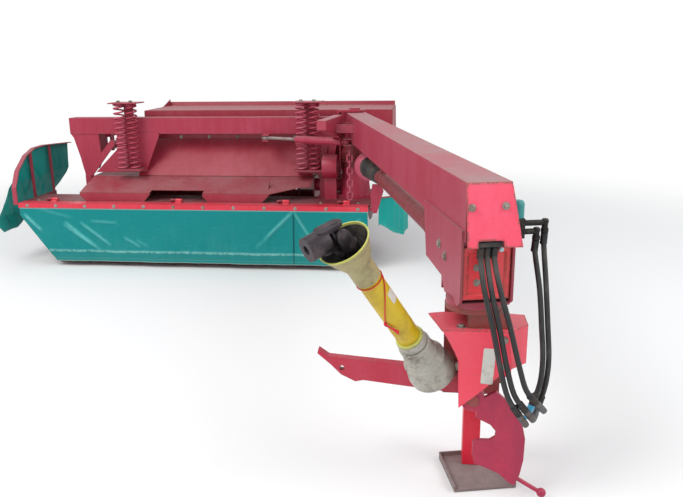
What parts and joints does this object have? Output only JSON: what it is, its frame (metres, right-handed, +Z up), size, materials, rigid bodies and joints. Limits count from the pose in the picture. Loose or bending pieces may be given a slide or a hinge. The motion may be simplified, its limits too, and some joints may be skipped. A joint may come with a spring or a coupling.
{
  "type": "trailed disc mower conditioner",
  "caption": "Towed disc mower with a tined conditioner under a sheet hood, a swinging drawbar, a swivelling headstock on a parking stand, hanging curtains and transport wheels.",
  "frame": {"origin": "On the ground, under the middle of the machine's overall box without the free hoses", "axes": "+Z up, +Y to the rear, away from the hitch, +X towards the side where the drawbar is pivoted"},
  "size_m": [4.5002, 6.4118, 1.488],
  "materials": {
    "faded_red": "faded paint",
    "bright_red": "glossy paint",
    "dark_red": "worn paint",
    "steel": "bright",
    "rusty_iron": "rusty",
    "curtain": "coated fabric sheet",
    "tyre_rubber": "matt",
    "rim_paint": "painted",
    "yellow_plastic": "smooth",
    "grey_plastic": "scuffed",
    "black_iron": "greasy",
    "hose_rubber": "matt",
    "blue_plastic": "smooth",
    "foot_steel": "rusty plate"
  },
  "bodies": {
    "frame": {"cutterbar": "dark_red", "deck": "faded_red", "hood_base": "faded_red", "hood": "faded_red", "main_beam": "faded_red", "left_leg": "faded_red", "right_leg": "faded_red", "shaft_cover": "faded_red", "spring_brackets": "faded_red", "springs_left": "dark_red", "springs_right": "dark_red", "pivot_fork": "faded_red", "rear_rails": "dark_red", "lower_gearbox": "dark_red", "side_arch": "faded_red", "canvas_left": "curtain", "canvas_right": "curtain", "curtain_bracket": "faded_red", "swath_boards": "faded_red"},
    "front_guard": {"guard_lip": "faded_red", "front_curtain": "curtain"},
    "rotor": {"rotor": "dark_red"},
    "disc_1": {"disc_1": "dark_red"},
    "disc_2": {"disc_2": "dark_red"},
    "disc_3": {"disc_3": "dark_red"},
    "disc_4": {"disc_4": "dark_red"},
    "disc_5": {"disc_5": "dark_red"},
    "disc_6": {"disc_6": "dark_red"},
    "disc_7": {"disc_7": "dark_red"},
    "disc_8": {"disc_8": "dark_red"},
    "wheel_arms": {"axle_arms": "dark_red"},
    "wheel_left": {"rim_left": "rim_paint", "tyre_left": "tyre_rubber"},
    "wheel_right": {"rim_right": "rim_paint", "tyre_right": "tyre_rubber"},
    "lift_barrel": {"lift_barrel": "faded_red"},
    "lift_rod": {"lift_rod": "steel"},
    "drawbar": {"drawbar": "faded_red", "swing_lever": "faded_red", "neck": "faded_red", "drive_line": "faded_red", "safety_chain": "dark_red", "hose_valve": "black_iron", "hose_1": "hose_rubber", "hose_2": "hose_rubber", "hose_3": "hose_rubber", "hose_4": "hose_rubber", "hose_5": "hose_rubber", "hose_ends": "blue_plastic"},
    "swing_barrel": {"swing_barrel": "faded_red"},
    "swing_rod": {"swing_rod": "steel"},
    "headstock": {"head_gearbox": "rusty_iron", "head_guard": "bright_red", "pto_cone": "grey_plastic", "pto_guard": "yellow_plastic"},
    "pto_shaft": {"pto_yoke": "black_iron"},
    "hitch": {"hitch_bar": "bright_red", "hitch_hook": "bright_red"},
    "stand": {"stand_leg": "bright_red", "stand_foot": "foot_steel"}
  },
  "joints": [
    {"name": "guard_open", "type": "hinge", "parent": "frame", "child": "front_guard", "pos_m": [-0.40007, 0.64396, 0.62], "axis": [-1, 0, 0], "range_deg": [0, 95]},
    {"name": "rotor_spin", "type": "hinge", "parent": "frame", "child": "rotor", "pos_m": [-0.40007, 1.46396, 0.48], "axis": [1, 0, 0], "continuous": true},
    {"name": "disc_1_spin", "type": "hinge", "parent": "frame", "child": "disc_1", "pos_m": [-1.60757, 0.83396, 0.1], "axis": [0, 0, 1], "continuous": true},
    {"name": "disc_2_spin", "type": "hinge", "parent": "frame", "child": "disc_2", "pos_m": [-1.26257, 0.83396, 0.1], "axis": [0, 0, 1], "continuous": true},
    {"name": "disc_3_spin", "type": "hinge", "parent": "frame", "child": "disc_3", "pos_m": [-0.91757, 0.83396, 0.1], "axis": [0, 0, 1], "continuous": true},
    {"name": "disc_4_spin", "type": "hinge", "parent": "frame", "child": "disc_4", "pos_m": [-0.57257, 0.83396, 0.1], "axis": [0, 0, 1], "continuous": true},
    {"name": "disc_5_spin", "type": "hinge", "parent": "frame", "child": "disc_5", "pos_m": [-0.22757, 0.83396, 0.1], "axis": [0, 0, 1], "continuous": true},
    {"name": "disc_6_spin", "type": "hinge", "parent": "frame", "child": "disc_6", "pos_m": [0.11743, 0.83396, 0.1], "axis": [0, 0, 1], "continuous": true},
    {"name": "disc_7_spin", "type": "hinge", "parent": "frame", "child": "disc_7", "pos_m": [0.46243, 0.83396, 0.1], "axis": [0, 0, 1], "continuous": true},
    {"name": "disc_8_spin", "type": "hinge", "parent": "frame", "child": "disc_8", "pos_m": [0.80743, 0.83396, 0.1], "axis": [0, 0, 1], "continuous": true},
    {"name": "wheel_lift", "type": "hinge", "parent": "frame", "child": "wheel_arms", "pos_m": [-0.40007, 2.19396, 0.86], "axis": [-1, 0, 0], "range_deg": [0, 45]},
    {"name": "wheel_left_spin", "type": "hinge", "parent": "wheel_arms", "child": "wheel_left", "pos_m": [-1.60007, 2.78396, 0.422], "axis": [1, 0, 0], "continuous": true},
    {"name": "wheel_right_spin", "type": "hinge", "parent": "wheel_arms", "child": "wheel_right", "pos_m": [0.79993, 2.78396, 0.422], "axis": [1, 0, 0], "continuous": true},
    {"name": "lift_barrel_turn", "type": "hinge", "parent": "frame", "child": "lift_barrel", "pos_m": [-1.48007, 1.38396, 1.02], "axis": [1, 0, 0], "range_deg": [-4, 1]},
    {"name": "lift_rod_slide", "type": "slide", "parent": "lift_barrel", "child": "lift_rod", "axis": [0, 0.9969, 0.0787], "range_m": [0, 0.18]},
    {"name": "drawbar_swing", "type": "hinge", "parent": "frame", "child": "drawbar", "pos_m": [1.06993, 1.03396, 1.2], "axis": [0, 0, 1], "range_deg": [-25, 4]},
    {"name": "swing_barrel_turn", "type": "hinge", "parent": "drawbar", "child": "swing_barrel", "pos_m": [1.03993, 0.60396, 1.159], "axis": [0, 0, 1], "range_deg": [-5, 25]},
    {"name": "swing_rod_slide", "type": "slide", "parent": "swing_barrel", "child": "swing_rod", "axis": [-0.9227, 0.3854, 0], "range_m": [-0.2, 0.05]},
    {"name": "head_swivel", "type": "hinge", "parent": "drawbar", "child": "headstock", "pos_m": [1.92407, -2.66572, 0.86], "axis": [0, 0, 1], "range_deg": [-45, 45]},
    {"name": "pto_spin", "type": "hinge", "parent": "headstock", "child": "pto_shaft", "pos_m": [1.76507, -2.68572, 0.54], "axis": [-0.4043, -0.457, 0.7923], "continuous": true},
    {"name": "hitch_roll", "type": "hinge", "parent": "headstock", "child": "hitch", "pos_m": [1.93007, -2.66572, 0.455], "axis": [0, 1, 0], "range_deg": [-25, 2]},
    {"name": "stand_slide", "type": "slide", "parent": "headstock", "child": "stand", "axis": [0, 0, 1], "range_m": [0, 0.28]}
  ],
  "couplings": [
    {"joint": "disc_1_spin", "follows": "rotor_spin", "ratio": 3},
    {"joint": "disc_2_spin", "follows": "rotor_spin", "ratio": -3},
    {"joint": "disc_3_spin", "follows": "rotor_spin", "ratio": 3},
    {"joint": "disc_4_spin", "follows": "rotor_spin", "ratio": -3},
    {"joint": "disc_5_spin", "follows": "rotor_spin", "ratio": 3},
    {"joint": "disc_6_spin", "follows": "rotor_spin", "ratio": -3},
    {"joint": "disc_7_spin", "follows": "rotor_spin", "ratio": 3},
    {"joint": "disc_8_spin", "follows": "rotor_spin", "ratio": -3},
    {"joint": "pto_spin", "follows": "rotor_spin", "ratio": 1},
    {"joint": "lift_barrel_turn", "follows": "wheel_lift", "ratio": -0.05801},
    {"joint": "lift_rod_slide", "follows": "wheel_lift", "m_per_rad": 0.21436},
    {"joint": "swing_barrel_turn", "follows": "drawbar_swing", "ratio": -0.93137},
    {"joint": "swing_rod_slide", "follows": "drawbar_swing", "m_per_rad": 0.42446}
  ]
}
